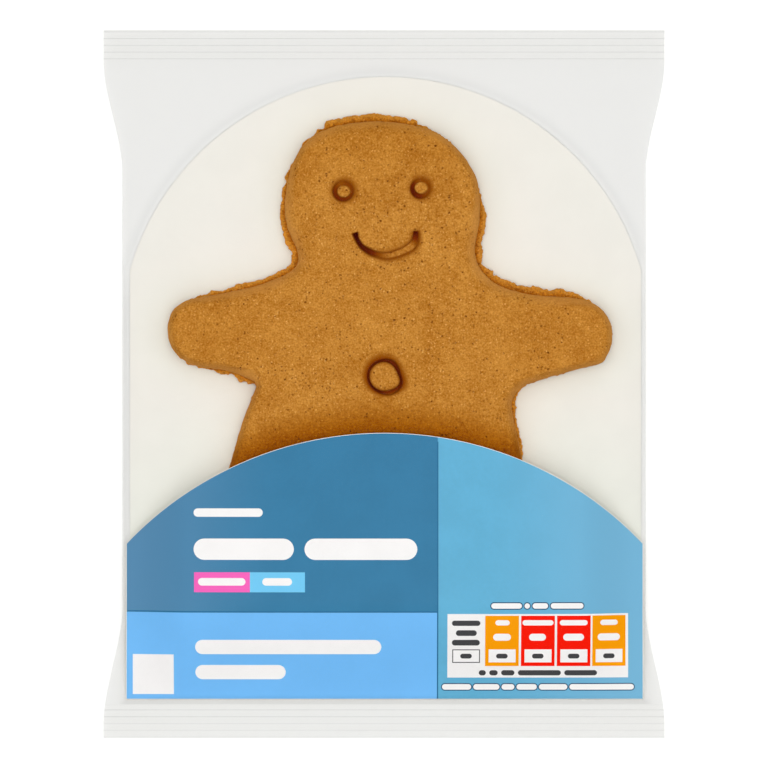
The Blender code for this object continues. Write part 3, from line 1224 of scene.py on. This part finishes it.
def make_seal(name, inner, outer, crease, material):
    """A crimped end of the film: two layers pressed into one, with ridges along X.

    Its height is the square root of a rectified sine of the distance from the first crease,
    turned over, so the ridges are sharp and the valleys between them are round.
    """
    y = np.linspace(inner, outer, 145)[:, None]
    turn = math.pi * (np.abs(y - inner) - crease) / RIDGE_PITCH
    wave = RIDGE_DEPTH * (1 - 2 * np.abs(np.sin(turn)) ** 0.5)
    wave = wave * grown_mm(np.abs(y - inner), 0, 0.3)
    across = np.linspace(-1, 1, 41)
    face = joined(across * half_width(y), y, SEAL_LEVEL + wave)
    face = face + np.array([0, 0, SEAL_THICKNESS / 2])
    make_slabs(name, [(face, lowered(face, SEAL_THICKNESS))], material)


# ---- The studio ----


def make_floor():
    """A plain pale floor."""
    mesh = bpy.data.meshes.new("floor")
    mesh.from_pydata([(-3, -3, 0), (3, -3, 0), (3, 3, 0), (-3, 3, 0)], [], [(0, 1, 2, 3)])
    material, tree, shader = new_material("pale_floor", {"Roughness": 0.9})
    place = own_place(tree)
    share = ramp(tree, noise(tree, place, 3.0), 0.3, 0.7)
    colour = blend(tree, share, (0.975, 0.975, 0.958, 1), (0.985, 0.985, 0.968, 1))
    tree.links.new(colour, shader.inputs["Base Color"])
    mesh.materials.append(material)
    floor = new_object("floor", mesh)


def make_light(name, place, size, power):
    """A square soft light, turned to face the pack."""
    light = bpy.data.lights.new(name, "AREA")
    light.size = size
    light.energy = power
    lamp = new_object(name, light)
    lamp.location = place
    x, y, z = place
    lamp.rotation_euler = (math.atan2(math.hypot(x, y), z), 0, math.atan2(x, -y))


def make_studio():
    """A soft light straight above the pack, four round it, high up, and a pale world."""
    make_light("middle_soft_light", (0.0, 0.0, MIDDLE_LIGHT_HEIGHT), 0.7, 10.0)
    for name, x, y in (("left", -1, 0), ("right", 1, 0), ("top", 0, 1), ("foot", 0, -1)):
        place = (x * SIDE_LIGHT_AWAY, y * SIDE_LIGHT_AWAY, SIDE_LIGHT_HEIGHT)
        make_light(f"{name}_soft_light", place, 0.9, 3.8)
    world = bpy.data.worlds.new("pale_studio")
    world.use_nodes = True
    background = world.node_tree.nodes["Background"].inputs
    background["Color"].default_value = (1, 1, 1, 1)
    background["Strength"].default_value = WORLD_STRENGTH
    bpy.context.scene.world = world
    bpy.context.scene.view_settings.view_transform = "Standard"


def make_camera():
    """A long lens straight above the pack, looking down."""
    camera = bpy.data.cameras.new("camera")
    camera.sensor_width = SENSOR_WIDTH
    camera.lens = SENSOR_WIDTH * (CAMERA_HEIGHT - SEAL_LEVEL) / VIEW_WIDTH
    camera.clip_end = 20.0
    holder = new_object("camera", camera)
    holder.location = (0, 0, CAMERA_HEIGHT)
    bpy.context.scene.camera = holder


# ---- The scene ----

make_camera()
make_studio()
make_floor()

dough = dough_material(
    "baked_dough",
    dark=(0.37, 0.116, 0.004, 1),
    pale=(0.70, 0.319, 0.056, 1),
    smooth_colour=(0.70, 0.315, 0.070, 1),
    pit_colour=(0.17, 0.036, 0.000, 1),
    pits=0.6,
    relief=0.00010,
)
rough_dough = dough_material(
    "rough_dough",
    dark=(0.28, 0.066, 0.001, 1),
    pale=(0.84, 0.345, 0.032, 1),
    smooth_colour=(0.86, 0.38, 0.055, 1),
    pit_colour=(0.20, 0.045, 0.001, 1),
    pits=0.15,
    relief=0.00018,
)
white_card = card_material("white_board", (0.892, 0.872, 0.806, 1), 0.98, 0.5)
clear_film = film_material(
    "clear_film", (0.03, 0.03, 0.015, 1), (0.93, 0.93, 0.92, 1), 0.070, 0.20, 4.5, 0.10
)
crimped_film = film_material(
    "crimped_film", (0.10, 0.10, 0.07, 1), (0.5, 0.5, 0.49, 1), 0.067, 0.6, 2.5, 0.16
)

make_biscuit(dough)
make_foot_edge(rough_dough)
make_board(white_card)
make_panel(white_card)
make_print()
make_film_tube(clear_film)
make_seal("film_top_seal", TOP_SEAL_INNER, TOP_EDGE, TOP_CREASE, crimped_film)
make_seal("film_foot_seal", FOOT_SEAL_INNER, FOOT_EDGE, FOOT_CREASE, crimped_film)
